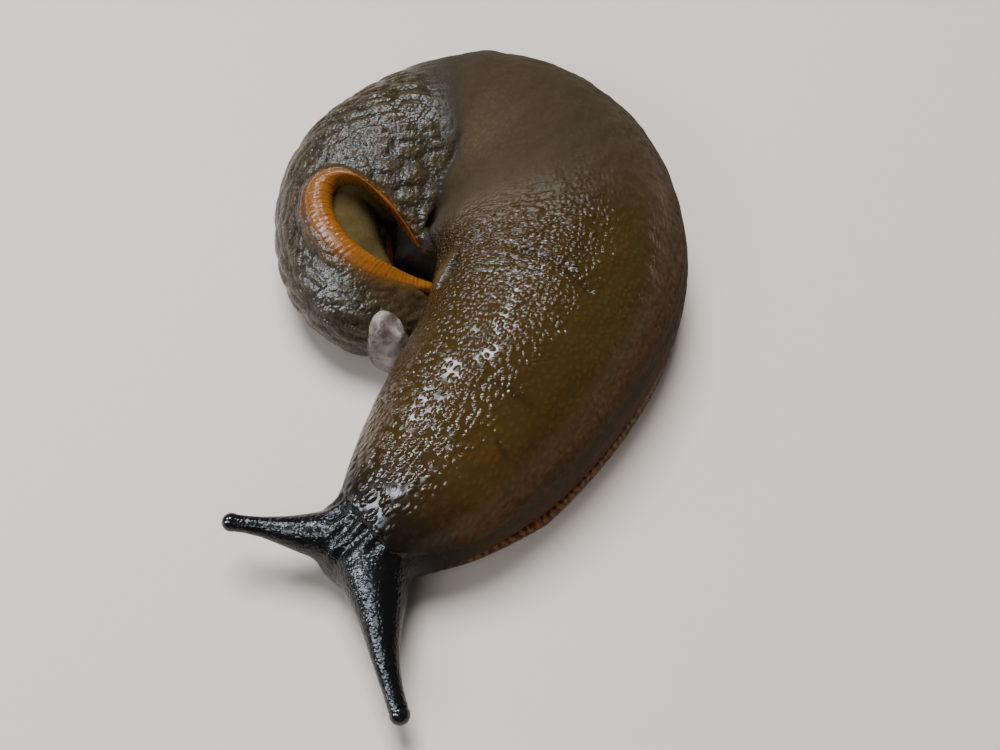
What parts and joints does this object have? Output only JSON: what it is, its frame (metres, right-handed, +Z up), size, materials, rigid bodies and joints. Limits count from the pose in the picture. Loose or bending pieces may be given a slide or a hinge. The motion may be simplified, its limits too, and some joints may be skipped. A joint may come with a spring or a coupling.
{
  "type": "slug",
  "caption": "Large round-backed land slug at rest, hind end curled to its right, tentacles out.",
  "frame": {"origin": "middle of the bounding box's base, on the floor the foot rests on", "axes": "+Z up, away from the floor; +Y from the head end towards the bend of the body; +X towards the animal's left side"},
  "size_m": [0.0522, 0.0848, 0.0194],
  "materials": {
    "mantle_skin": "wet, finely granular",
    "back_skin": "wet, coarse tubercles",
    "head_skin": "wet, finely ridged",
    "foot_fringe": "wet, finely lined across",
    "foot_sole": "wet, smooth",
    "eye": "glossy",
    "gland": "wet slime, translucent"
  },
  "bodies": {
    "root": {"head": "head_skin", "neck": "head_skin", "mantle": "mantle_skin", "body_front": "back_skin", "body_middle": "back_skin", "body_rear": "back_skin", "body_turn": "back_skin", "tail": "back_skin", "tail_gland": "gland", "eye_left": "eye", "eye_right": "eye", "tentacle_upper_left": "head_skin", "tentacle_upper_right": "head_skin", "tentacle_lower_left": "head_skin", "tentacle_lower_right": "head_skin", "sole_front": "foot_sole", "fringe_right_front": "foot_fringe", "fringe_left_front": "foot_fringe", "sole_middle": "foot_sole", "fringe_right_middle": "foot_fringe", "fringe_left_middle": "foot_fringe", "sole_rear": "foot_sole", "fringe_right_rear": "foot_fringe", "fringe_left_rear": "foot_fringe", "sole_turn": "foot_sole", "fringe_right_turn": "foot_fringe", "fringe_left_turn": "foot_fringe", "sole_tail": "foot_sole", "fringe_right_tail": "foot_fringe", "fringe_left_tail": "foot_fringe"}
  },
  "joints": []
}
